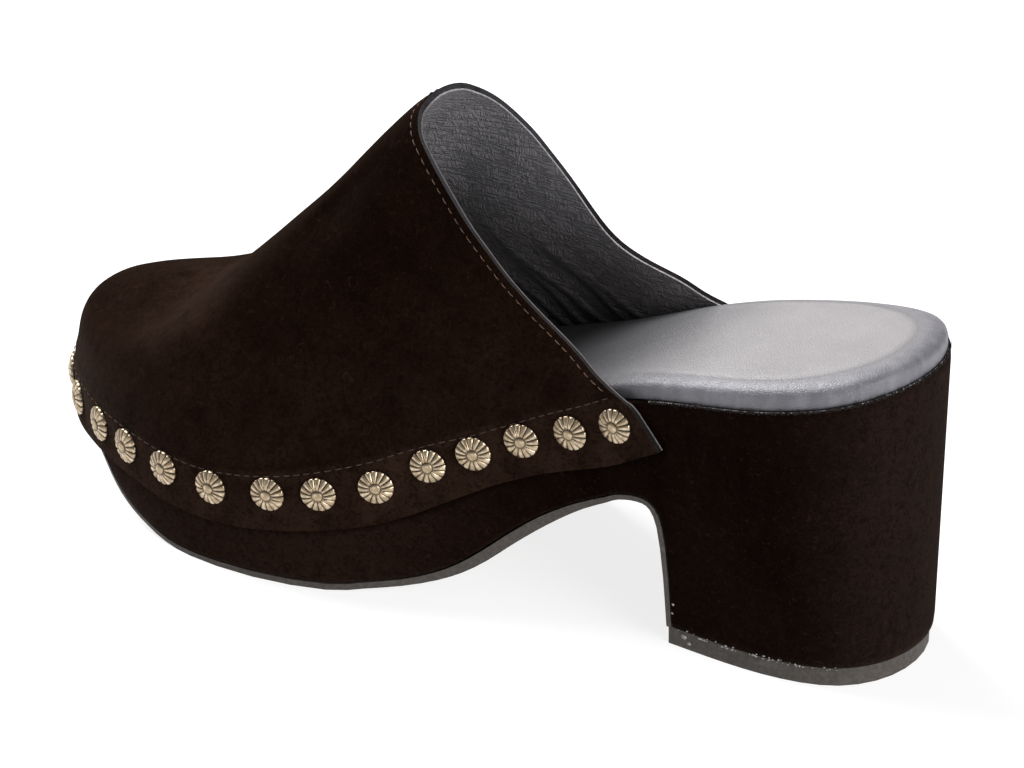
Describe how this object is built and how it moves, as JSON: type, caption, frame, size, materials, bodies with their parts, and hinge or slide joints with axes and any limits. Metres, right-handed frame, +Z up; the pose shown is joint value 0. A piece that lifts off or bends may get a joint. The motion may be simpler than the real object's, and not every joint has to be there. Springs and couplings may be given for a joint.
{
  "type": "platform clog",
  "caption": "Slip-on clog with a closed toe, an open back, a slanted collar, a studded lower edge, a covered platform and a high block heel.",
  "frame": {"origin": "middle of the heel's tread, on the floor", "axes": "+X to the toe, +Y to the inner side of the foot, +Z up"},
  "size_m": [0.2675, 0.1081, 0.1305],
  "materials": {
    "suede": "brushed nap, matt",
    "insole": "smooth, satin",
    "rubber": "matt",
    "brass": "antique, lightly polished"
  },
  "bodies": {
    "root": {"footbed": "insole", "heel": "suede", "outsole": "rubber", "platform": "suede", "stud_inner_01": "brass", "stud_inner_02": "brass", "stud_inner_03": "brass", "stud_inner_04": "brass", "stud_inner_05": "brass", "stud_inner_06": "brass", "stud_inner_07": "brass", "stud_inner_08": "brass", "stud_inner_09": "brass", "stud_inner_10": "brass", "stud_inner_11": "brass", "stud_inner_12": "brass", "stud_inner_13": "brass", "stud_outer_01": "brass", "stud_outer_02": "brass", "stud_outer_03": "brass", "stud_outer_04": "brass", "stud_outer_05": "brass", "stud_outer_06": "brass", "stud_outer_07": "brass", "stud_outer_08": "brass", "stud_outer_09": "brass", "stud_outer_10": "brass", "stud_outer_11": "brass", "stud_outer_12": "brass", "stud_outer_13": "brass", "stud_toe_01": "brass", "stud_toe_02": "brass", "stud_toe_03": "brass", "top_lift": "rubber", "upper": "suede"}
  },
  "joints": []
}
